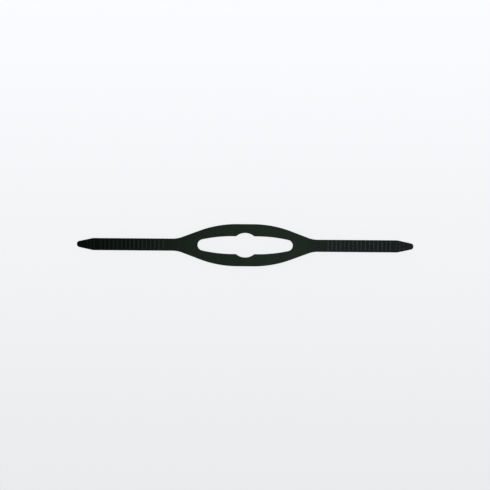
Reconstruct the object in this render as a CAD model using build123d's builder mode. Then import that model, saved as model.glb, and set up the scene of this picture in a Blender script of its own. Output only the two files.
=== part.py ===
"""Split-back mask strap: a lens-shaped loop for the back of the head and two ribbed tails.

The strap lies flat, ribs up. X runs along it, Y across it and Z through its thickness. The origin
is on the resting face, in the middle of the loop. The moulding bends everywhere, so it is divided
into stretches that meet at bending lines, and each stretch is a solid of its own.
"""

import os
from math import asin, cos, degrees, radians, sin, sqrt, tan

from build123d import *

os.makedirs("parts", exist_ok=True)

# Driving dimensions, in millimetres and degrees.
half_length = 221.5
thickness = 2.4
edge_radius = 0.6

# Outer outline of the loop and its run down to the tails.
loop_half_height = 27.8
crown_half_flat = 10.5
shoulder_radius = 142.0
flare_angle = 20.5
neck_radius = 36.0

# Tails and their tapered tips.
tail_half_width = 8.0
taper_angle = 12.2
taper_radius = 13.0
nose_radius = 4.2

# Opening between the two bands, with a round notch in the middle of each long edge.
opening_half_length = 62.6
opening_half_height = 11.7
opening_half_flat = 15.8
opening_end_radius = 7.4
notch_depth = 4.4
notch_radius = 18.4
notch_corner_radius = 0.8

# Ribs across the tails.
rib_count = 16
rib_pitch = 5.44
first_rib_x = 108.5
rib_half_length = 7.2
rib_base_width = 2.4
rib_flank_angle = 45.0
rib_height = 0.55

# Grip pips on the tips: a row of two nearest the nose, then two rows of three.
pip_base_radius = 0.7
pip_top_radius = 0.45
pip_height = 0.35
first_pip_row_x = half_length - 13.6
pip_row_pitch = 4.6
pair_spacing = 5.4
triple_spacing = 4.1

# Bending lines, as distances from the middle of the loop, and the slit that is open at each.
slit = 0.1
band_hinge_inner_x = 22.0
band_hinge_outer_x = 44.0
fork_start_x = 58.0
neck_hinge_x = 74.0
tail_hinge_x = 98.0


def valley_x(number):
    """Return how far out the valley before rib `number` is, counting the ribs from 0."""
    return first_rib_x + (number - 0.5) * rib_pitch


tail_inner_hinge_x = valley_x(3)
tail_middle_hinge_x = valley_x(7)
fold_inner_hinge_x = valley_x(11)
fold_outer_hinge_x = valley_x(12)
tail_outer_hinge_x = valley_x(13)
tip_start_x = valley_x(rib_count) + 1.5

# Stretches from the middle outwards, each with its two ends. A bending line takes half of its slit
# from the stretch on each side, and stretches that stay together touch.
half_slit = slit / 2
band_stretches = (
    ("band_inner", band_hinge_inner_x + half_slit, band_hinge_outer_x - half_slit),
    ("band_outer", band_hinge_outer_x + half_slit, fork_start_x),
)
full_width_stretches = (
    ("fork", fork_start_x, neck_hinge_x - half_slit),
    ("neck", neck_hinge_x + half_slit, tail_hinge_x - half_slit),
    ("tail_root", tail_hinge_x + half_slit, tail_inner_hinge_x - half_slit),
    ("tail_inner", tail_inner_hinge_x + half_slit, tail_middle_hinge_x - half_slit),
    ("tail_middle", tail_middle_hinge_x + half_slit, fold_inner_hinge_x - half_slit),
    ("fold_inner", fold_inner_hinge_x + half_slit, fold_outer_hinge_x - half_slit),
    ("fold_outer", fold_outer_hinge_x + half_slit, tail_outer_hinge_x - half_slit),
    ("tail_outer", tail_outer_hinge_x + half_slit, tip_start_x),
)


def clockwise(angle):
    """Return the unit vector that is `angle` degrees clockwise from +X."""
    return Vector(cos(radians(angle)), -sin(radians(angle)))


# Where the flare would meet the tail's straight edge, and how far its rounding reaches back.
shoulder_end_x = crown_half_flat + shoulder_radius * sin(radians(flare_angle))
shoulder_end_y = loop_half_height - shoulder_radius * (1 - cos(radians(flare_angle)))
neck_corner_x = shoulder_end_x + (shoulder_end_y - tail_half_width) / tan(radians(flare_angle))
neck_corner = Vector(neck_corner_x, tail_half_width)
neck_reach = neck_radius * tan(radians(flare_angle / 2))

# The taper is tangent to the nose. Its corner with the tail's edge is rounded the same way.
nose_centre = Vector(half_length - nose_radius, 0)
nose_start = nose_centre + nose_radius * Vector(sin(radians(taper_angle)), cos(radians(taper_angle)))
taper_corner_x = nose_start.X - (tail_half_width - nose_start.Y) / tan(radians(taper_angle))
taper_reach = taper_radius * tan(radians(taper_angle / 2))
tail_edge_end = Vector(taper_corner_x - taper_reach, tail_half_width)

# The opening's long arc is tangent to its flat stretch and to its round end.
end_centre_x = opening_half_length - opening_end_radius
arc_reach = end_centre_x - opening_half_flat
arc_rise = opening_half_height - opening_end_radius
opening_arc_radius = (arc_reach**2 + opening_half_height**2 - opening_end_radius**2) / (2 * arc_rise)
opening_arc_angle = degrees(asin(arc_reach / (opening_arc_radius - opening_end_radius)))

# The notch's arc crosses the opening's straight edge half a chord from the middle.
notch_centre_y = opening_half_height + notch_depth - notch_radius
notch_half_chord = sqrt(notch_radius**2 - (opening_half_height - notch_centre_y) ** 2)
notch_half_angle = degrees(asin(notch_half_chord / notch_radius))

with BuildSketch() as outline:
    with BuildLine() as outline_edge:
        crown = Line((0, loop_half_height), (crown_half_flat, loop_half_height))
        shoulder = JernArc(crown @ 1, crown % 1, shoulder_radius, -flare_angle)
        flare = Line(shoulder @ 1, neck_corner - neck_reach * clockwise(flare_angle))
        neck_arc = JernArc(flare @ 1, flare % 1, neck_radius, flare_angle)
        tail_edge = Line(neck_arc @ 1, tail_edge_end)
        taper_arc = JernArc(tail_edge @ 1, tail_edge % 1, taper_radius, -taper_angle)
        taper = Line(taper_arc @ 1, nose_start)
        nose = JernArc(taper @ 1, taper % 1, nose_radius, taper_angle - 90)
        mirror(about=Plane.XZ)
        mirror(about=Plane.YZ)
    make_face()

with BuildSketch() as opening:
    with BuildLine() as opening_edge:
        notch = CenterArc((0, notch_centre_y), notch_radius, 90, -notch_half_angle)
        flat = Line(notch @ 1, (opening_half_flat, opening_half_height))
        long_arc = JernArc(flat @ 1, flat % 1, opening_arc_radius, -opening_arc_angle)
        round_end = JernArc(long_arc @ 1, long_arc % 1, opening_end_radius, opening_arc_angle - 90)
        mirror(about=Plane.XZ)
        mirror(about=Plane.YZ)
    make_face()
    corners = opening.vertices().filter_by(lambda corner: abs(abs(corner.X) - notch_half_chord) < 0.01)
    fillet(corners, radius=notch_corner_radius)

# The whole moulding without its ribs and pips, rounded along every edge.
with BuildPart() as blank:
    add(outline.sketch)
    extrude(amount=thickness)
    add(opening.sketch)
    extrude(amount=thickness, mode=Mode.SUBTRACT)
    fillet(blank.faces().filter_by(Axis.Z).edges(), radius=edge_radius)


def pip_places(side):
    """Return where the pips stand on one tip."""
    pair = [(0, -pair_spacing / 2), (0, pair_spacing / 2)]
    triples = [(row, place * triple_spacing) for row in (1, 2) for place in (-1, 0, 1)]
    rows = pair + triples
    return [(side * (first_pip_row_x - row * pip_row_pitch), y, thickness) for row, y in rows]


def write_stretch(name, side, start_x, end_x, low_y, high_y):
    """Cut one stretch out of the moulding, add its ribs and pips, and write it."""
    window_middle = (side * (start_x + end_x) / 2, (low_y + high_y) / 2, thickness / 2)
    ribs = [first_rib_x + number * rib_pitch for number in range(rib_count)]
    ribs_here = [(side * rib_x, thickness) for rib_x in ribs if start_x < rib_x < end_x]
    on_base = (Align.CENTER, Align.CENTER, Align.MIN)
    with BuildPart() as stretch:
        add(blank.part)
        with Locations(window_middle):
            Box(end_x - start_x, high_y - low_y, 2 * thickness, mode=Mode.INTERSECT)
        if ribs_here:
            with BuildSketch(Plane.XZ):
                with Locations(*ribs_here):
                    Trapezoid(
                        rib_base_width,
                        rib_height,
                        rib_flank_angle,
                        align=(Align.CENTER, Align.MIN),
                    )
            extrude(amount=rib_half_length, both=True)
        if name.endswith("tail_tip"):
            with Locations(*pip_places(side)):
                Cone(pip_base_radius, pip_top_radius, pip_height, align=on_base)
    stretch.part.label = name
    export_step(stretch.part, f"parts/{name}.step")


past_edge_y = loop_half_height + 1
middle_end_x = band_hinge_inner_x - half_slit

write_stretch("upper_band_middle", 1, -middle_end_x, middle_end_x, 0, past_edge_y)
write_stretch("lower_band_middle", 1, -middle_end_x, middle_end_x, -past_edge_y, 0)
for side_name, side in (("left", -1), ("right", 1)):
    for stretch_name, start_x, end_x in band_stretches:
        write_stretch(f"{side_name}_upper_{stretch_name}", side, start_x, end_x, 0, past_edge_y)
        write_stretch(f"{side_name}_lower_{stretch_name}", side, start_x, end_x, -past_edge_y, 0)
    for stretch_name, start_x, end_x in full_width_stretches:
        write_stretch(f"{side_name}_{stretch_name}", side, start_x, end_x, -past_edge_y, past_edge_y)
    write_stretch(f"{side_name}_tail_tip", side, tip_start_x, half_length + 1, -past_edge_y, past_edge_y)
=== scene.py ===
"""Looks of the split-back mask strap: one continuous moulded skin, cut into pieces.

The skin is drawn in plan, in millimetres, with the strap's length along X. Rings of points follow
every edge inwards to round it, and a grid fills the rest. Each piece of the skin lies across one
bending line of the CAD model, so that it is wholly on one body at each of its two seams.
"""

import math

import bpy
import numpy as np
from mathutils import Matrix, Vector
from mathutils.geometry import delaunay_2d_cdt


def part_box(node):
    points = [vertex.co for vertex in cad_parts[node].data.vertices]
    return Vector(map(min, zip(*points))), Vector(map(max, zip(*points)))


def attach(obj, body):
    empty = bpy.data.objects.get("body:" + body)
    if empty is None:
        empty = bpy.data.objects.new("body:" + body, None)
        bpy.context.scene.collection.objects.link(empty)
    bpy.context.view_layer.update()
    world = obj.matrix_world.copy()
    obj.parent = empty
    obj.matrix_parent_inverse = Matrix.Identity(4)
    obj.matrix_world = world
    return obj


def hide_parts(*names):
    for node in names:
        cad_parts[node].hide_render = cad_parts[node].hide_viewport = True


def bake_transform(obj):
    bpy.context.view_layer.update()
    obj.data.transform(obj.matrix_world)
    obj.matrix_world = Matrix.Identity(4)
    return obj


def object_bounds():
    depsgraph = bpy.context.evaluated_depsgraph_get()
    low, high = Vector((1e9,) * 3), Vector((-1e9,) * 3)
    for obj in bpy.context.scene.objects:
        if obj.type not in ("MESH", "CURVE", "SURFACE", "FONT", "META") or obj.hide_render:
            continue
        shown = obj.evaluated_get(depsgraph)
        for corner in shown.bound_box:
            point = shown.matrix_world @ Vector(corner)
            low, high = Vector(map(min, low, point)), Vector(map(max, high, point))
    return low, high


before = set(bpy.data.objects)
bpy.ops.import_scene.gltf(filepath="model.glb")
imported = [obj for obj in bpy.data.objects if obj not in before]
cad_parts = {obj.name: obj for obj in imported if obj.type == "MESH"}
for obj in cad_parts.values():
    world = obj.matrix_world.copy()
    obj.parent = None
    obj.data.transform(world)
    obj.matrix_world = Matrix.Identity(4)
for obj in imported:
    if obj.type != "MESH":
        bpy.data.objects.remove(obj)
cad_low, cad_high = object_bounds()

MM = 0.001

# The lamps light only this collection. The floor has its own glow and the light of the room.
strap = bpy.data.collections.new("strap")
bpy.context.scene.collection.children.link(strap)

# ---------------------------------------------------------------------------------------------
# Sizes of the strap, in millimetres and degrees. Those that a CAD box gives come from the frame.
# ---------------------------------------------------------------------------------------------
HALF_LENGTH = cad_high.x / MM
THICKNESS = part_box("right_neck")[1].z / MM
LOOP_HALF_HEIGHT = cad_high.y / MM
TAIL_HALF_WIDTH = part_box("right_tail_inner")[1].y / MM
TIP_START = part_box("right_tail_tip")[0].x / MM

# Outer outline, from the middle of the loop outwards to the nose.
CROWN_HALF_FLAT = 10.5
SHOULDER_RADIUS = 142.0
FLARE_ANGLE = 20.5
NECK_RADIUS = 36.0
TAPER_ANGLE = 12.2
TAPER_RADIUS = 13.0
NOSE_RADIUS = 4.2

OPENING_HALF_LENGTH = 62.6
OPENING_HALF_HEIGHT = 11.7
OPENING_HALF_FLAT = 15.8
OPENING_END_RADIUS = 7.4
NOTCH_DEPTH = 4.4
NOTCH_RADIUS = 18.4
NOTCH_CORNER_RADIUS = 0.8

# Ribs, the first nearest the loop. Their ends fade out before the edges of the tail.
RIB_COUNT = 16
RIB_PITCH = 5.44
FIRST_RIB_X = 108.5
RIB_HEIGHT = 0.55
RIB_TOP_WIDTH = 0.5
RIB_BASE_WIDTH = 2.9
RIB_END_START = 6.4
RIB_END = 7.3
LAST_RIB_X = FIRST_RIB_X + (RIB_COUNT - 1) * RIB_PITCH

# Pips on the tips: a pair nearest the nose, then two rows of three.
PIP_RADIUS = 0.75
PIP_HEIGHT = 0.35
FIRST_PIP_ROW_X = HALF_LENGTH - 13.6
PIP_ROW_PITCH = 4.6
PAIR_SPACING = 5.4
TRIPLE_SPACING = 4.1

# Rounding of the top and bottom edges, and the mould's parting line between them.
TOP_ROUND = 0.6
BOTTOM_ROUND = 0.6
PARTING_HALF_WIDTH = 0.13
PARTING_HEIGHT = 0.05

# Spacing of the skin's points. Support rings lie inside the rounded edge, rib columns on either
# side of a rib's middle, and pip rings at these shares of a pip's radius.
EDGE_STEP = 0.6
TIGHT_STEP = 0.35
TIGHT_RADIUS = 20.0
FEWEST_ARC_STEPS = 4
GRID_STEP = 1.1
RING_COUNT = 6
RING_TOLERANCE = 0.02
SUPPORT_RINGS = (0.8, 1.05, 1.35, 1.7)
RIB_COLUMNS = (0, 0.3, 0.5, 0.7, 0.9, 1.1, 1.28, 1.45, 1.9, 2.3, RIB_PITCH / 2)
PIP_RINGS = (0.35, 0.65, 0.85, 0.96, 1.0, 1.25)
PIP_SIDES = 16
PIP_CLEARANCE = 1.35
CLEARANCE = 0.4
RIM_SEARCH = 3
BEYOND = 100
BEYOND_NOSE = HALF_LENGTH + 1
SAME = 1e-6
SLIVER = 1e-4

# Where the skin is cut, out from the middle. A seam is halfway between two hinges of the CAD
# model, but the one past the first rib is in the valley there.
CENTRE_SEAM = 11.0
BAND_SEAM = 33.0
FORK_START = 59.0
TAIL_START = 86.0
FIRST_VALLEY = FIRST_RIB_X + RIB_PITCH / 2
MIDDLE_SEAM = 132.98
FOLD_START = 154.74
FOLD_SEAM = 168.34
FOLD_END = 173.78


# ---------------------------------------------------------------------------------------------
# Plan of the strap
# ---------------------------------------------------------------------------------------------
def walk(start, heading, moves):
    """Follow straight runs and arcs from `start`. Return the points and the headings there.

    A move is a length, or a radius with the angle turned, positive to the left.
    """
    points, headings = [np.array(start, float)], [heading]
    for move in moves:
        if len(move) == 1:
            count = max(1, math.ceil(move[0] / EDGE_STEP))
            step = move[0] / count
            for _ in range(count):
                direction = np.array([math.cos(heading), math.sin(heading)])
                points.append(points[-1] + step * direction)
                headings.append(heading)
            continue
        radius, turned = move[0], math.radians(move[1])
        spacing = TIGHT_STEP if radius < TIGHT_RADIUS else EDGE_STEP
        count = max(FEWEST_ARC_STEPS, math.ceil(radius * abs(turned) / spacing))
        arm = math.copysign(radius, turned)
        centre = points[-1] + arm * np.array([-math.sin(heading), math.cos(heading)])
        for _ in range(count):
            heading += turned / count
            points.append(centre - arm * np.array([-math.sin(heading), math.cos(heading)]))
            headings.append(heading)
    return np.array(points), np.array(headings)


def outer_quarter():
    """Return the outer outline from the middle of the top edge to the nose."""
    flare, taper = math.radians(FLARE_ANGLE), math.radians(TAPER_ANGLE)
    shoulder_drop = SHOULDER_RADIUS * (1 - math.cos(flare))
    shoulder_run = SHOULDER_RADIUS * math.sin(flare)
    neck_reach = NECK_RADIUS * math.tan(flare / 2)
    flare_drop = LOOP_HALF_HEIGHT - shoulder_drop - TAIL_HALF_WIDTH
    flare_length = flare_drop / math.sin(flare) - neck_reach
    neck_end = CROWN_HALF_FLAT + shoulder_run + flare_drop / math.tan(flare) + neck_reach

    taper_reach = TAPER_RADIUS * math.tan(taper / 2)
    taper_drop = TAIL_HALF_WIDTH - NOSE_RADIUS * math.cos(taper)
    taper_end = HALF_LENGTH - NOSE_RADIUS * (1 - math.sin(taper))
    taper_corner = taper_end - taper_drop / math.tan(taper)
    taper_length = taper_drop / math.sin(taper) - taper_reach
    moves = (
        (CROWN_HALF_FLAT,),
        (SHOULDER_RADIUS, -FLARE_ANGLE),
        (flare_length,),
        (NECK_RADIUS, FLARE_ANGLE),
        (taper_corner - taper_reach - neck_end,),
        (TAPER_RADIUS, -TAPER_ANGLE),
        (taper_length,),
        (NOSE_RADIUS, TAPER_ANGLE - 90),
    )
    return walk((0, LOOP_HALF_HEIGHT), 0.0, moves)


def opening_quarter():
    """Return the opening's edge from the middle of the notch to the opening's end."""
    run = OPENING_HALF_LENGTH - OPENING_END_RADIUS - OPENING_HALF_FLAT
    rise = OPENING_HALF_HEIGHT - OPENING_END_RADIUS
    arc_radius = (run**2 + OPENING_HALF_HEIGHT**2 - OPENING_END_RADIUS**2) / (2 * rise)
    arc_angle = math.degrees(math.asin(run / (arc_radius - OPENING_END_RADIUS)))

    # The corner between the notch's arc and the straight edge is rounded by a circle that touches
    # both from the material's side.
    notch_centre = OPENING_HALF_HEIGHT + NOTCH_DEPTH - NOTCH_RADIUS
    corner_rise = OPENING_HALF_HEIGHT + NOTCH_CORNER_RADIUS - notch_centre
    corner_x = math.sqrt((NOTCH_RADIUS + NOTCH_CORNER_RADIUS) ** 2 - corner_rise**2)
    notch_angle = math.degrees(math.atan2(corner_x, corner_rise))
    moves = (
        (NOTCH_RADIUS, -notch_angle),
        (NOTCH_CORNER_RADIUS, notch_angle),
        (OPENING_HALF_FLAT - corner_x,),
        (arc_radius, -arc_angle),
        (OPENING_END_RADIUS, arc_angle - 90),
    )
    return walk((0, OPENING_HALF_HEIGHT + NOTCH_DEPTH), 0.0, moves)


def closed_loop(quarter, inward):
    """Mirror a quarter to all four, as a closed loop with unit normals into the material."""
    points, headings = quarter
    normals = inward * np.stack([np.sin(headings), -np.cos(headings)], axis=1)
    flips = ((1, 1, False), (1, -1, True), (-1, -1, False), (-1, 1, True))
    loop_points, loop_normals = [], []
    for flip_x, flip_y, backwards in flips:
        flip = np.array([flip_x, flip_y])
        part_points, part_normals = points * flip, normals * flip
        if backwards:
            part_points, part_normals = part_points[::-1], part_normals[::-1]
        loop_points.append(part_points[:-1])
        loop_normals.append(part_normals[:-1])
    return np.concatenate(loop_points), np.concatenate(loop_normals)


OUTER_QUARTER = outer_quarter()
OPENING_QUARTER = opening_quarter()
LOOPS = (closed_loop(OUTER_QUARTER, 1), closed_loop(OPENING_QUARTER, -1))


def in_material(x, y, margin=0):
    """Tell which points lie between the outer outline and the opening, clear of both."""
    outer = np.interp(np.abs(x), *OUTER_QUARTER[0].T)
    hole = np.interp(np.abs(x), *OPENING_QUARTER[0].T, right=-1)
    return (np.abs(y) < outer - margin) & (np.abs(y) > hole + margin)


def rim_distance(points):
    """Return how far each point is from the nearest edge of the material.

    Edges more than RIM_SEARCH away along X are left out, so only short distances are exact.
    """
    nearest = np.full(len(points), math.inf)
    low, high = points[:, 0].min() - RIM_SEARCH, points[:, 0].max() + RIM_SEARCH
    for loop, _ in LOOPS:
        starts, ends = loop, np.roll(loop, -1, axis=0)
        near = (starts[:, 0] > low) & (starts[:, 0] < high)
        for start, end in zip(starts[near], ends[near], strict=True):
            along = end - start
            share = np.clip((points - start) @ along / (along @ along), 0, 1)
            gap = points - start - share[:, None] * along
            nearest = np.minimum(nearest, np.hypot(gap[:, 0], gap[:, 1]))
    return nearest


# ---------------------------------------------------------------------------------------------
# Height of the skin over its plan
# ---------------------------------------------------------------------------------------------
def ease(value, low, high):
    """Rise smoothly from 0 at `low` to 1 at `high`."""
    share = np.clip((value - low) / (high - low), 0, 1)
    return share * share * (3 - 2 * share)


def rounding(rim, radius):
    """Return how far the surface has dropped at `rim` from an edge of that radius."""
    inside = radius - np.minimum(rim, radius)
    return radius - np.sqrt(np.maximum(radius**2 - inside**2, 0))


def rib_share(x, y):
    """Return 1 on top of a rib, 0 between the ribs."""
    out = np.abs(x) - FIRST_RIB_X
    nearest = np.clip(np.round(out / RIB_PITCH), 0, RIB_COUNT - 1)
    across = np.abs(out - nearest * RIB_PITCH)
    flank = 1 - ease(across, RIB_TOP_WIDTH / 2, RIB_BASE_WIDTH / 2)
    return flank * (1 - ease(np.abs(y), RIB_END_START, RIB_END))


def pip_centres():
    """Return where the pips stand on the right tip."""
    rows = [(0, side * PAIR_SPACING / 2) for side in (-1, 1)]
    rows += [(row, place * TRIPLE_SPACING) for row in (1, 2) for place in (-1, 0, 1)]
    return [(FIRST_PIP_ROW_X - row * PIP_ROW_PITCH, y) for row, y in rows]


def pip_share(x, y):
    """Return the pips' domes, 1 at their tops."""
    share = np.zeros(len(x))
    for centre_x, centre_y in pip_centres():
        out = np.hypot(np.abs(x) - centre_x, y - centre_y) / PIP_RADIUS
        share = np.maximum(share, np.sqrt(np.maximum(1 - out**2, 0)))
    return share


def top_height(x, y, rim):
    """Return the height of the ribbed face."""
    height = THICKNESS - rounding(rim, TOP_ROUND)
    return height + RIB_HEIGHT * rib_share(x, y) + PIP_HEIGHT * pip_share(x, y)


# ---------------------------------------------------------------------------------------------
# Points of one piece of the skin
# ---------------------------------------------------------------------------------------------
def ribbed(x):
    """Tell which places along X are in the ribbed stretch of a tail."""
    out = np.abs(x)
    return (out > FIRST_RIB_X - RIB_PITCH / 2) & (out < LAST_RIB_X + RIB_PITCH / 2)


def columns_between(low, high):
    """Return the places of the grid's columns, and which of them cut through the ribbed stretch."""
    plain = np.arange(math.ceil(low / GRID_STEP), high / GRID_STEP) * GRID_STEP
    plain = plain[~ribbed(plain)]
    offsets = np.array([side * out for out in RIB_COLUMNS for side in (-1, 1)])
    centres = FIRST_RIB_X + np.arange(RIB_COUNT) * RIB_PITCH
    across_ribs = (centres[:, None] + offsets).ravel()
    across_ribs = np.concatenate([across_ribs, -across_ribs])
    found = [np.unique(group.round(5)) for group in (plain, across_ribs)]
    return [group[(group > low + CLEARANCE) & (group < high - CLEARANCE)] for group in found]


def ring_distances():
    """Return how far inwards each ring of points lies, the edge itself first."""
    turns = np.linspace(0, math.pi / 2, RING_COUNT + 1)
    return [*(TOP_ROUND * (1 - np.cos(turns))), *SUPPORT_RINGS]


def crossed_ring(ring, columns):
    """Return a closed ring with a point at each column. The ribbed stretch has no others."""
    made = []
    for start, end in zip(ring, np.roll(ring, -1, axis=0), strict=True):
        if not ribbed(start[0]):
            made.append(start)
        low, high = sorted((start[0], end[0]))
        crossed = columns[(columns > low) & (columns <= high)]
        for column in sorted(crossed, key=lambda place: abs(place - start[0])):
            share = (column - start[0]) / (end[0] - start[0])
            made.append((column, start[1] + share * (end[1] - start[1])))
    return np.array(made)


def ring_points(window, columns):
    """Return the rings' points in a window, their rim distances, and the edge's segments."""
    low, high, low_y, high_y = window
    points, rims, segments = [], [], []
    for loop, normals in LOOPS:
        for rim in ring_distances():
            ring = crossed_ring(loop + rim * normals, columns)
            inside = (ring[:, 0] >= low) & (ring[:, 0] <= high)
            inside &= (ring[:, 1] > low_y) & (ring[:, 1] < high_y)
            to_seam = np.minimum(np.abs(ring[:, 0] - low), np.abs(ring[:, 0] - high))
            kept = inside & ((to_seam < SAME) | (to_seam > CLEARANCE / 2))
            if rim > NOTCH_CORNER_RADIUS / 2 and kept.any():
                kept[kept] = rim_distance(ring[kept]) > rim - RING_TOLERANCE
            if rim == 0:
                segments += edge_segments(inside, kept, len(points))
            points += list(ring[kept])
            rims += [rim] * int(kept.sum())
    return points, rims, segments


def edge_segments(inside, kept, first):
    """Join the kept points of a closed ring to their neighbours, but not across the outside."""
    segments, before = [], None
    numbers = first + np.cumsum(kept) - 1
    start = int(np.argmin(inside))
    for place in (np.arange(len(inside)) + start) % len(inside):
        if not inside[place]:
            before = None
        elif kept[place]:
            if before is not None:
                segments.append((before, int(numbers[place])))
            before = int(numbers[place])
    return segments


def pip_points(centre):
    """Return a pip's middle point and the rings round it."""
    points = [centre]
    for share in PIP_RINGS:
        for turn in np.arange(PIP_SIDES) * math.tau / PIP_SIDES:
            out = share * PIP_RADIUS
            points.append((centre[0] + out * math.cos(turn), centre[1] + out * math.sin(turn)))
    return points


def plan(window):
    """Return the plan points of one piece, their rim distances and the segments to keep."""
    low, high, low_y, high_y = window
    plain, across_ribs = columns_between(low, high)
    points, rims, segments = ring_points(window, np.array([low, high, *across_ribs]))

    row_count = math.ceil(LOOP_HALF_HEIGHT / GRID_STEP)
    rows = np.arange(-row_count, row_count + 1) * GRID_STEP
    rows = rows[(rows > low_y) & (rows < high_y)]
    columns = np.array([low, *plain, *across_ribs, high])
    grid = np.array([(x, y) for x in columns for y in rows])
    grid = grid[in_material(grid[:, 0], grid[:, 1])]
    grid_rims = rim_distance(grid)
    kept = grid_rims > SUPPORT_RINGS[-1] + CLEARANCE
    side = math.copysign(1, low)
    for x, y in pip_centres():
        if low < side * x < high:
            kept &= np.hypot(grid[:, 0] - side * x, grid[:, 1] - y) > PIP_CLEARANCE
            pip = pip_points((side * x, y))
            points += pip
            rims += [SUPPORT_RINGS[-1]] * len(pip)
    points = np.array(points + list(grid[kept]))
    rims = np.array(rims + list(grid_rims[kept]))

    for seam in (low, high):
        on_seam = np.flatnonzero(np.abs(points[:, 0] - seam) < SAME)
        on_seam = on_seam[np.argsort(points[on_seam, 1])]
        for here, after in zip(on_seam[:-1], on_seam[1:], strict=True):
            if in_material(seam, (points[here, 1] + points[after, 1]) / 2):
                segments.append((int(here), int(after)))
    return points, rims, segments


# ---------------------------------------------------------------------------------------------
# Mesh of one piece of the skin
# ---------------------------------------------------------------------------------------------
def flat_mesh(window):
    """Triangulate the plan of one piece. Return its points, rim distances and triangles."""
    points, rims, segments = plan(window)
    flat = [Vector(point) for point in points]
    _, _, faces, sources, _, _ = delaunay_2d_cdt(flat, segments, [], 0, SAME)
    order = [source[0] for source in sources]
    points, rims = points[order], rims[order]
    faces = np.array([face[:3] for face in faces])
    middles = points[faces].mean(axis=1)
    return points, rims, faces[in_material(middles[:, 0], middles[:, 1], SLIVER)]


def border(faces):
    """Return the directed edges that only one triangle has."""
    directed = {}
    for a, b, c in faces.tolist():
        for edge in ((a, b), (b, c), (c, a)):
            directed[edge] = True
    return [edge for edge in directed if edge[::-1] not in directed]


def outward(points, edges, count):
    """Return unit normals that point out of the material at the ends of the edges."""
    normals = np.zeros((count, 2))
    for a, b in edges:
        along = points[b] - points[a]
        across = np.array([along[1], -along[0]]) / np.hypot(*along)
        normals[a] += across
        normals[b] += across
    return normals / np.maximum(np.hypot(normals[:, 0], normals[:, 1]), SAME)[:, None]


def skin_piece(name, window):
    """Make one closed piece of the skin between the window's two seams."""
    points, rims, faces = flat_mesh(window)
    a, b, c = (points[faces[:, corner]] for corner in range(3))
    turn = np.cross(b - a, c - a)
    faces[turn < 0] = faces[turn < 0][:, ::-1]
    count = len(points)
    seams = np.array(window[:2])

    def at_seam(number):
        return np.abs(points[number, 0] - seams).min() < SAME

    walls = [edge for edge in border(faces) if not (at_seam(edge[0]) and at_seam(edge[1]))]
    normals = outward(points, walls, count)
    top = np.column_stack([points, top_height(points[:, 0], points[:, 1], rims)])
    bottom = np.column_stack([points, rounding(rims, BOTTOM_ROUND)])
    verts = [*top, *bottom]

    # The parting line runs round the middle of the wall.
    middle = (THICKNESS - TOP_ROUND + BOTTOM_ROUND) / 2
    levels = ((PARTING_HALF_WIDTH, 0), (0, PARTING_HEIGHT), (-PARTING_HALF_WIDTH, 0))
    column = {}
    for number in sorted({end for edge in walls for end in edge}):
        column[number] = [number]
        for rise, out in levels:
            place = points[number] + out * normals[number]
            column[number].append(len(verts))
            verts.append(np.array([place[0], place[1], middle + rise]))
        column[number].append(count + number)

    polygons = faces.tolist() + (faces[:, ::-1] + count).tolist()
    for start, end in walls:
        for level in range(len(levels) + 1):
            here, after = column[start], column[end]
            polygons.append([here[level], here[level + 1], after[level + 1], after[level]])
    cap_start = len(polygons)
    polygons += caps(points, border(faces), column, count, seams)

    mesh = bpy.data.meshes.new(name)
    mesh.from_pydata([vert * MM for vert in verts], [], polygons)
    mesh.update()
    if mesh.validate(verbose=False):
        raise RuntimeError(f"{name} has a bad face")
    for polygon in mesh.polygons:
        polygon.use_smooth = polygon.index < cap_start
    sharpen_caps(mesh, cap_start)
    keep_rest_places(mesh)
    piece = bpy.data.objects.new(name, mesh)
    strap.objects.link(piece)
    return piece


def caps(points, edges, column, count, seams):
    """Return the polygons that close the piece at its seams, one for each stretch of material."""
    after = {a: b for a, b in edges if np.abs(points[a, 0] - seams).min() < SAME
             and abs(points[a, 0] - points[b, 0]) < SAME}
    polygons = []
    for start in [number for number in after if number not in after.values()]:
        chain = [start]
        while chain[-1] in after:
            chain.append(after[chain[-1]])
        under = [count + number for number in chain[1:-1]]
        polygons.append([*column[start], *under, *column[chain[-1]][::-1], *chain[-2:0:-1]])
    return polygons


def sharpen_caps(mesh, cap_start):
    """Mark the rim of each cap sharp, so that the skin's own shading runs on over a seam."""
    rims = {tuple(sorted(key)) for cap in mesh.polygons[cap_start:] for key in cap.edge_keys}
    sharp = [tuple(sorted(edge.vertices)) in rims for edge in mesh.edges]
    attribute = mesh.attributes.new("sharp_edge", "BOOLEAN", "EDGE")
    attribute.data.foreach_set("value", sharp)


def keep_rest_places(mesh):
    """Store each point's place at rest, which the materials use as their coordinates."""
    places = np.zeros(len(mesh.vertices) * 3, np.float32)
    mesh.vertices.foreach_get("co", places)
    mesh.attributes.new("rest_place", "FLOAT_VECTOR", "POINT").data.foreach_set("vector", places)


# ---------------------------------------------------------------------------------------------
# Materials
# ---------------------------------------------------------------------------------------------
# How many cells of each pattern fit into a metre.
BLOOM_SCALE = 42.0
MOTTLE_SCALE = 420.0
PIT_SCALE = 3200.0
GRAIN_SCALE = 4200.0

# Depths of the relief, in metres.
RIPPLE_DEPTH = 0.00004
PIT_DEPTH = 0.000008
GRAIN_DEPTH = 0.00002

# Tone and sheen. The clouds of bloom lie where the two noises' sum is in this range.
CLOUD_RANGE = (0.7, 1.3)
TONE_SPREAD = 0.14
SHEEN_SPREAD = (-0.04, 0.12)
SILICONE_IOR = 1.41
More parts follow.
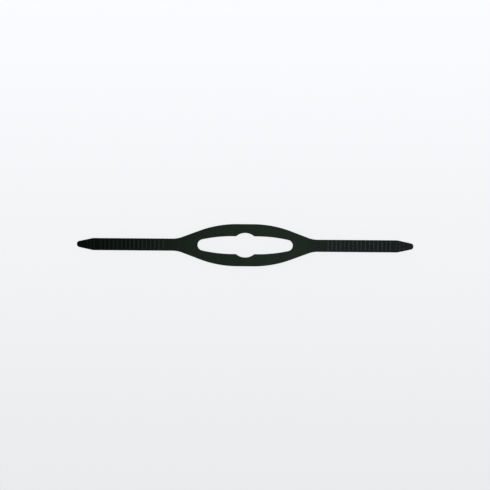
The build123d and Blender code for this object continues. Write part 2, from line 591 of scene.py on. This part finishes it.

# Painted highlight: the tops of the ribs and pips are painted paler from this many millimetres
# above the flat face, more faintly where the mottle is low. The pips get a paler painted highlight
# from the foot of their domes.
RAISED_HIGHLIGHT_FROM = 0.08
PATCHY_RANGE = (0.25, 0.65)
FAINTEST_RAISED_HIGHLIGHT = 0.5
DOME_RANGE = (0.02, 0.12)
# Colour of the painted highlight over the pips' domes.
PIP_HIGHLIGHT_COLOUR = (0.088, 0.106, 0.095)


def new_tree(name):
    """Start a material with a node tree that holds only its output."""
    material = bpy.data.materials.new(name)
    material.use_nodes = True
    tree = material.node_tree
    tree.nodes.clear()
    output = tree.nodes.new("ShaderNodeOutputMaterial")
    return material, tree, output


def add_node(tree, kind, links=(), **settings):
    """Add a node, set its inputs or its own settings, and link (output socket, input name)."""
    made = tree.nodes.new(kind)
    for key, value in settings.items():
        if hasattr(made, key):
            setattr(made, key, value)
        else:
            made.inputs[key.replace("_", " ")].default_value = value
    for source, target in links:
        tree.links.new(source, made.inputs[target])
    return made


def black_silicone(name, colour, raised_highlight_colour, roughness):
    """Make black moulded silicone with a fine grain, a faint bloom and painted highlights on its
    tops.
    """
    material, tree, output = new_tree(name)
    place = add_node(tree, "ShaderNodeAttribute", attribute_name="rest_place").outputs["Vector"]
    bloom = add_node(tree, "ShaderNodeTexNoise", [(place, "Vector")],
                     Scale=BLOOM_SCALE, Detail=3.0)
    mottle = add_node(tree, "ShaderNodeTexNoise", [(place, "Vector")],
                      Scale=MOTTLE_SCALE, Detail=4.0)
    grain = add_node(tree, "ShaderNodeTexNoise", [(place, "Vector")],
                     Scale=GRAIN_SCALE, Detail=2.0)
    cells = add_node(tree, "ShaderNodeTexVoronoi", [(place, "Vector")], Scale=PIT_SCALE)

    # Tone: slow clouds of bloom with a finer mottle inside them.
    noises = add_node(tree, "ShaderNodeMath",
                      [(bloom.outputs["Fac"], 0), (mottle.outputs["Fac"], 1)], operation="ADD")
    cloud = add_node(tree, "ShaderNodeMapRange", [(noises.outputs[0], "Value")])
    cloud.inputs["From Min"].default_value = CLOUD_RANGE[0]
    cloud.inputs["From Max"].default_value = CLOUD_RANGE[1]
    tone = add_node(tree, "ShaderNodeMix", [(cloud.outputs[0], "Factor")], data_type="RGBA")
    tone.inputs["A"].default_value = (*((1 - TONE_SPREAD) * part for part in colour), 1)
    tone.inputs["B"].default_value = (*((1 + TONE_SPREAD) * part for part in colour), 1)

    # Painted highlight: the tops of the ribs and pips are painted paler, unevenly, where light
    # catches them.
    axes = add_node(tree, "ShaderNodeSeparateXYZ", [(place, "Vector")])
    height = add_node(tree, "ShaderNodeMapRange", [(axes.outputs["Z"], "Value")],
                      interpolation_type="SMOOTHSTEP")
    height.inputs["From Min"].default_value = (THICKNESS + RAISED_HIGHLIGHT_FROM) * MM
    height.inputs["From Max"].default_value = (THICKNESS + PIP_HEIGHT) * MM
    patchy = add_node(tree, "ShaderNodeMapRange", [(mottle.outputs["Fac"], "Value")])
    patchy.inputs["From Min"].default_value = PATCHY_RANGE[0]
    patchy.inputs["From Max"].default_value = PATCHY_RANGE[1]
    patchy.inputs["To Min"].default_value = FAINTEST_RAISED_HIGHLIGHT
    raised_highlight = add_node(tree, "ShaderNodeMath", [(height.outputs[0], 0), (patchy.outputs[0], 1)],
                      operation="MULTIPLY")
    highlighted_tops = add_node(tree, "ShaderNodeMix", [(raised_highlight.outputs[0], "Factor")], data_type="RGBA")
    tree.links.new(tone.outputs["Result"], highlighted_tops.inputs["A"])
    highlighted_tops.inputs["B"].default_value = (*raised_highlight_colour, 1)

    # Painted highlight: the pips' whole domes are painted paler still.
    outwards = add_node(tree, "ShaderNodeMath", [(axes.outputs["X"], 0)], operation="ABSOLUTE")
    on_tip = add_node(tree, "ShaderNodeMath", [(outwards.outputs[0], 0)], operation="GREATER_THAN")
    on_tip.inputs[1].default_value = TIP_START * MM
    dome = add_node(tree, "ShaderNodeMapRange", [(axes.outputs["Z"], "Value")])
    dome.inputs["From Min"].default_value = (THICKNESS + DOME_RANGE[0]) * MM
    dome.inputs["From Max"].default_value = (THICKNESS + DOME_RANGE[1]) * MM
    on_pip = add_node(tree, "ShaderNodeMath", [(on_tip.outputs[0], 0), (dome.outputs[0], 1)],
                      operation="MULTIPLY")
    pip_highlighted = add_node(tree, "ShaderNodeMix", [(on_pip.outputs[0], "Factor")], data_type="RGBA")
    tree.links.new(highlighted_tops.outputs["Result"], pip_highlighted.inputs["A"])
    pip_highlighted.inputs["B"].default_value = (*PIP_HIGHLIGHT_COLOUR, 1)

    # Sheen: the bloom and the tops under the painted highlight are both a little rougher.
    dulling = add_node(tree, "ShaderNodeMath", [(cloud.outputs[0], 0), (raised_highlight.outputs[0], 1)],
                       operation="ADD")
    sheen = add_node(tree, "ShaderNodeMapRange", [(dulling.outputs[0], "Value")])
    sheen.inputs["From Max"].default_value = 2.0
    sheen.inputs["To Min"].default_value = roughness + SHEEN_SPREAD[0]
    sheen.inputs["To Max"].default_value = roughness + SHEEN_SPREAD[1]

    # Relief: moulded grain and pits, over a faint ripple of the mould's own polish.
    ripple = add_node(tree, "ShaderNodeBump", [(mottle.outputs["Fac"], "Height")],
                      Strength=1.0, Distance=RIPPLE_DEPTH)
    pits = add_node(tree, "ShaderNodeBump", [(cells.outputs["Distance"], "Height"),
                                             (ripple.outputs["Normal"], "Normal")],
                    Strength=1.0, Distance=PIT_DEPTH)
    relief = add_node(tree, "ShaderNodeBump", [(grain.outputs["Fac"], "Height"),
                                               (pits.outputs["Normal"], "Normal")],
                      Strength=1.0, Distance=GRAIN_DEPTH)
    shader = add_node(tree, "ShaderNodeBsdfPrincipled", [(pip_highlighted.outputs["Result"], "Base Color"),
                                                         (sheen.outputs[0], "Roughness"),
                                                         (relief.outputs["Normal"], "Normal")],
                      IOR=SILICONE_IOR)
    tree.links.new(shader.outputs[0], output.inputs["Surface"])
    return material


# The materials by slot. The band's is a little paler and glossier than the tails'. Each also gives
# the colour of the painted highlight on its rib and pip tops.
SILICONES = {
    "band_silicone": black_silicone(
        "band_black_silicone",
        colour=(0.0095, 0.022, 0.010), raised_highlight_colour=(0.024, 0.039, 0.033), roughness=0.34),
    "tail_silicone": black_silicone(
        "tail_black_silicone",
        colour=(0.0092, 0.021, 0.010), raised_highlight_colour=(0.021, 0.036, 0.030), roughness=0.36),
}


# ---------------------------------------------------------------------------------------------
# The skin's pieces
# ---------------------------------------------------------------------------------------------
def dress(piece, slot, *nodes):
    """Finish a piece, which then stands for these CAD nodes."""
    piece.data.materials.append(SILICONES[slot])
    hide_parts(*nodes)


def stretch(side, start, end, low_y=-BEYOND, high_y=BEYOND):
    """Return the window over a stretch of one side, given by two places out from the middle."""
    return (*sorted((side * start, side * end)), low_y, high_y)


def bent_piece(name, side, start, end, low_y=-BEYOND, high_y=BEYOND):
    """Make a piece over a stretch of one side, across the hinge between its two seams."""
    piece = skin_piece(name, stretch(side, start, end, low_y, high_y))
    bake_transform(piece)
    return piece


BANDS = (("upper", 0, BEYOND), ("lower", -BEYOND, 0))

# Name, joint, start, end and CAD nodes of each piece beyond the split.
STRETCHES = (
    ("fork_skin", "back_wrap_neck", FORK_START, TAIL_START, ("fork", "neck")),
    ("tail_root_skin", "tail_curl", TAIL_START, FIRST_VALLEY, ("tail_root",)),
    ("tail_inner_skin", "tail_curl_inner", FIRST_VALLEY, MIDDLE_SEAM, ("tail_inner",)),
    ("tail_middle_skin", "tail_curl_middle", MIDDLE_SEAM, FOLD_START, ("tail_middle",)),
    ("fold_inner_skin", "buckle_fold", FOLD_START, FOLD_SEAM, ("fold_inner",)),
    ("fold_outer_skin", "buckle_fold_middle", FOLD_SEAM, FOLD_END, ("fold_outer",)),
    ("tail_outer_skin", "buckle_fold_outer", FOLD_END, TIP_START, ("tail_outer",)),
)

for level, low_y, high_y in BANDS:
    centre = skin_piece(f"{level}_centre_skin", (-CENTRE_SEAM, CENTRE_SEAM, low_y, high_y))
    dress(centre, "band_silicone", f"{level}_band_middle")
    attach(centre, "back_middle")

for name, side in (("left", -1), ("right", 1)):
    for level, low_y, high_y in BANDS:
        inner = bent_piece(f"{name}_{level}_inner_skin", side, CENTRE_SEAM, BAND_SEAM,
                           low_y, high_y)
        dress(inner, "band_silicone", f"{name}_{level}_band_inner")
        outer = bent_piece(f"{name}_{level}_outer_skin", side, BAND_SEAM, FORK_START,
                           low_y, high_y)
        dress(outer, "band_silicone", f"{name}_{level}_band_outer")
    for piece_name, joint_name, start, end, nodes in STRETCHES:
        piece = bent_piece(f"{name}_{piece_name}", side, start, end)
        slot = "band_silicone" if piece_name == "fork_skin" else "tail_silicone"
        dress(piece, slot, *(f"{name}_{node}" for node in nodes))
    tip = skin_piece(f"{name}_tip_skin", stretch(side, TIP_START, BEYOND_NOSE))
    dress(tip, "tail_silicone", f"{name}_tail_tip")
    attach(tip, f"{name}_tail_end_body")


# ---------------------------------------------------------------------------------------------
# Floor, light and camera
# ---------------------------------------------------------------------------------------------
# The camera looks straight down. FRAME_WIDTH is how much floor it sees across.
CAMERA_PLACE = (-0.0002, 0.0003, 1.524)
CAMERA_TURN = 0.45
LENS = 85.0
SENSOR_WIDTH = 36.0
FRAME_WIDTH = 0.6455

FLOOR_SIZE = 60
FLOOR_DROP = 0.0002
FLOOR_GLOW = 0.945
FLOOR_NEAR = (0.826, 0.834, 0.850, 1)
FLOOR_MIDDLE = (0.896, 0.904, 0.922, 1)
FLOOR_FAR = (0.967, 0.976, 1.0, 1)

# The room meets the floor at the horizon in the floor's tones, near behind the camera's foot and
# far beyond its head, and fades to a small share of them overhead. Heights and sides are parts of
# a direction of length 1.
ROOM_DIM_SHARE = 0.022
ROOM_DIM_HEIGHT = 0.36
ROOM_SIDEWAYS = 0.7


def floor_tones(tree, share):
    """Return a colour that goes from the floor's near tone to its far tone as `share` rises."""
    tone = add_node(tree, "ShaderNodeValToRGB", [(share, "Fac")])
    ramp = tone.color_ramp
    ramp.elements[0].color = FLOOR_NEAR
    ramp.elements[1].color = FLOOR_FAR
    ramp.elements.new(0.5).color = FLOOR_MIDDLE
    return tone.outputs["Color"]


def pale_floor():
    """Lay a large floor that is a little darker towards the near side."""
    bpy.ops.mesh.primitive_plane_add(size=FLOOR_SIZE, location=(0, 0, -FLOOR_DROP))
    floor = bpy.context.object
    floor.name = "studio_floor"
    material, tree, output = new_tree("pale_floor")
    place = add_node(tree, "ShaderNodeTexCoord").outputs["Object"]
    axes = add_node(tree, "ShaderNodeSeparateXYZ", [(place, "Vector")])
    depth = add_node(tree, "ShaderNodeMapRange", [(axes.outputs["Y"], "Value")])
    depth.inputs["From Min"].default_value = -FRAME_WIDTH / 2
    depth.inputs["From Max"].default_value = FRAME_WIDTH / 2
    tone = floor_tones(tree, depth.outputs[0])
    shader = add_node(tree, "ShaderNodeBsdfPrincipled", [(tone, "Base Color"),
                                                         (tone, "Emission Color")],
                      Roughness=0.9, Emission_Strength=FLOOR_GLOW)
    shader.inputs["Specular IOR Level"].default_value = 0.0
    tree.links.new(shader.outputs[0], output.inputs["Surface"])
    floor.data.materials.append(material)


def studio_world():
    """Light the scene from a room that is dim overhead and meets the floor in its own tones."""
    world = bpy.data.worlds.new("studio")
    world.use_nodes = True
    bpy.context.scene.world = world
    tree = world.node_tree
    tree.nodes.clear()
    output = tree.nodes.new("ShaderNodeOutputWorld")
    direction = add_node(tree, "ShaderNodeTexCoord").outputs["Generated"]
    axes = add_node(tree, "ShaderNodeSeparateXYZ", [(direction, "Vector")])
    towards = add_node(tree, "ShaderNodeMapRange", [(axes.outputs["Y"], "Value")])
    towards.inputs["From Min"].default_value = -ROOM_SIDEWAYS
    towards.inputs["From Max"].default_value = ROOM_SIDEWAYS
    horizon = floor_tones(tree, towards.outputs[0])
    dimming = add_node(tree, "ShaderNodeValToRGB", [(axes.outputs["Z"], "Fac")])
    ramp = dimming.color_ramp
    ramp.interpolation = "EASE"
    ramp.elements[0].color = (1, 1, 1, 1)
    ramp.elements[1].position = ROOM_DIM_HEIGHT
    ramp.elements[1].color = (ROOM_DIM_SHARE, ROOM_DIM_SHARE, ROOM_DIM_SHARE, 1)
    tone = add_node(tree, "ShaderNodeMix", [(horizon, "A"), (dimming.outputs["Color"], "B")],
                    data_type="RGBA", blend_type="MULTIPLY")
    tone.inputs["Factor"].default_value = 1.0
    light = add_node(tree, "ShaderNodeBackground", [(tone.outputs["Result"], "Color")],
                     Strength=1.0)
    tree.links.new(light.outputs[0], output.inputs["Surface"])


def soft_light(name, place, aim, size, watts, colour=(1, 1, 1), spread=180, mirrored=True):
    """Hang a rectangular soft light at `place`, facing `aim`, that lights only the strap.

    A grid over it narrows `spread`. It shows in the strap's sheen only if it is `mirrored`.
    """
    data = bpy.data.lights.new(name, "AREA")
    data.shape = "RECTANGLE"
    data.size, data.size_y = size
    data.energy = watts
    data.color = colour
    data.spread = math.radians(spread)
    light = bpy.data.objects.new(name, data)
    bpy.context.scene.collection.objects.link(light)
    light.location = place
    light.rotation_euler = (Vector(aim) - Vector(place)).to_track_quat("-Z", "Y").to_euler()
    light.visible_glossy = mirrored
    light.light_linking.receiver_collection = strap


pale_floor()
studio_world()
soft_light("fill", place=(0.0, 0.0, 0.10), aim=(0.0, 0.0, 0.0), size=(0.22, 0.10), watts=0.10,
           mirrored=False)
soft_light("overhead_panel", place=(0.20, 0.0, 1.4), aim=(0.20, 0.0, 0.0), size=(0.50, 0.8),
           watts=0.44, colour=(0.96, 0.96, 1.22))
soft_light("side_panel", place=(0.43, 0.0, 0.20), aim=(0.25, 0.0, 0.0), size=(0.30, 0.30),
           watts=0.064, colour=(1.0, 0.97, 1.20), spread=52)

camera_data = bpy.data.cameras.new("camera")
camera_data.lens = LENS
camera_data.sensor_width = SENSOR_WIDTH
camera = bpy.data.objects.new("camera", camera_data)
bpy.context.scene.collection.objects.link(camera)
camera.location = CAMERA_PLACE
camera.rotation_euler = (0.0, 0.0, math.radians(CAMERA_TURN))
bpy.context.scene.camera = camera
bpy.context.scene.view_settings.view_transform = "Standard"
